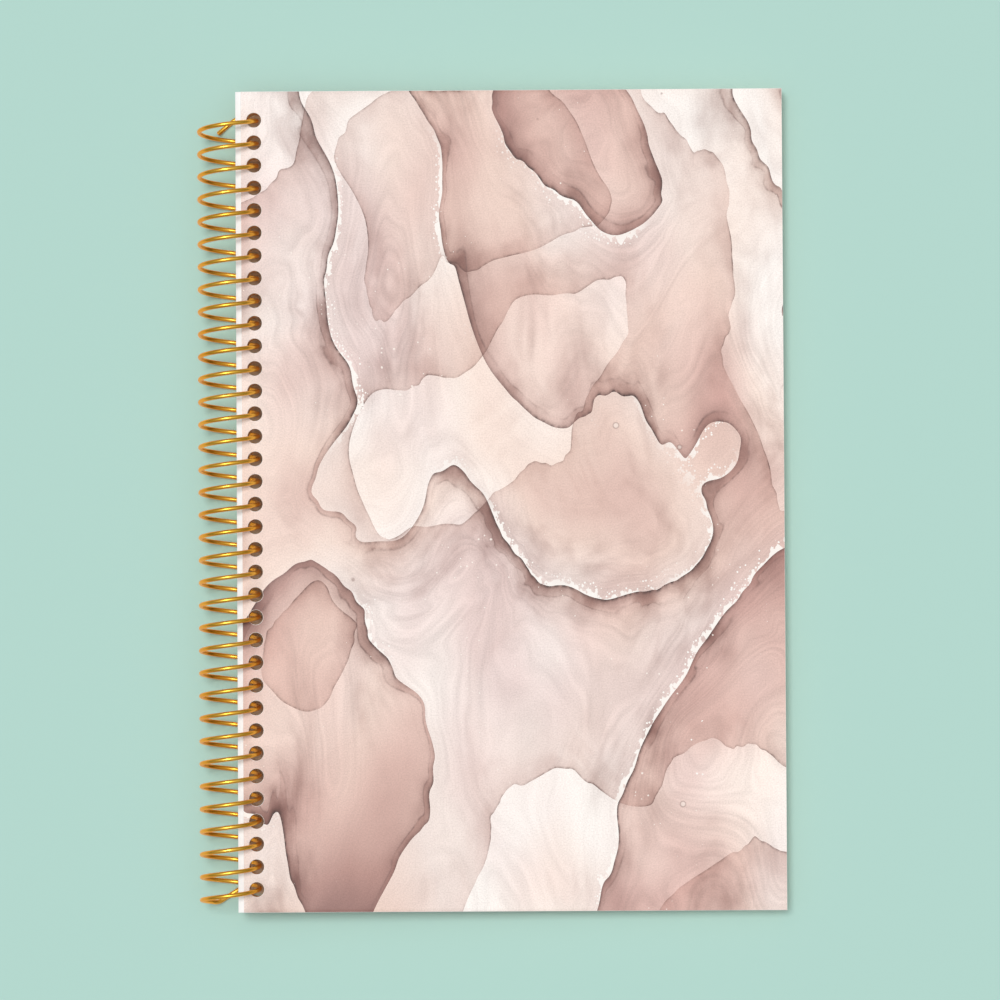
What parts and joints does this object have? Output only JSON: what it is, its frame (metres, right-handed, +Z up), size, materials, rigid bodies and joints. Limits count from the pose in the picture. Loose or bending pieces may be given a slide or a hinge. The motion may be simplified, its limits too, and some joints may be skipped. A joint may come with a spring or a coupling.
{
  "type": "spiral notebook",
  "caption": "Closed notebook with a printed card cover, a block of pages and a plain back cover, all hung on one wire coil through a row of punched holes.",
  "frame": {"origin": "on the table, at the middle of the closed notebook's footprint", "axes": "+X from the coil to the fore edge, +Y along the spine towards the head of the book, +Z up"},
  "size_m": [0.1634, 0.2286, 0.0173],
  "materials": {
    "paper": "uncoated white paper",
    "front_card": "silk-coated card printed with an ink-wash pattern in blush, taupe and cream",
    "back_card": "silk-coated card in plain blush",
    "coil_wire": "polished gold-coloured wire"
  },
  "bodies": {
    "back_cover": {"back_cover": "back_card"},
    "coil": {"coil": "coil_wire"},
    "page_block": {"page_block": "paper"},
    "front_cover": {"front_cover": "front_card"}
  },
  "joints": [
    {"name": "pages_swing", "type": "hinge", "parent": "back_cover", "child": "coil", "pos_m": [-0.073, 0, 0.00867], "axis": [0, -1, 0], "range_deg": [0, 40]},
    {"name": "pages_shift", "type": "slide", "parent": "coil", "child": "page_block", "axis": [0, -1, 0], "range_m": [0, 0.0008]},
    {"name": "front_cover_swing", "type": "hinge", "parent": "page_block", "child": "front_cover", "pos_m": [-0.073, 0, 0.00867], "axis": [0, -1, 0], "range_deg": [0, 100]}
  ],
  "couplings": [
    {"joint": "pages_shift", "follows": "front_cover_swing", "m_per_rad": 0.000458}
  ]
}
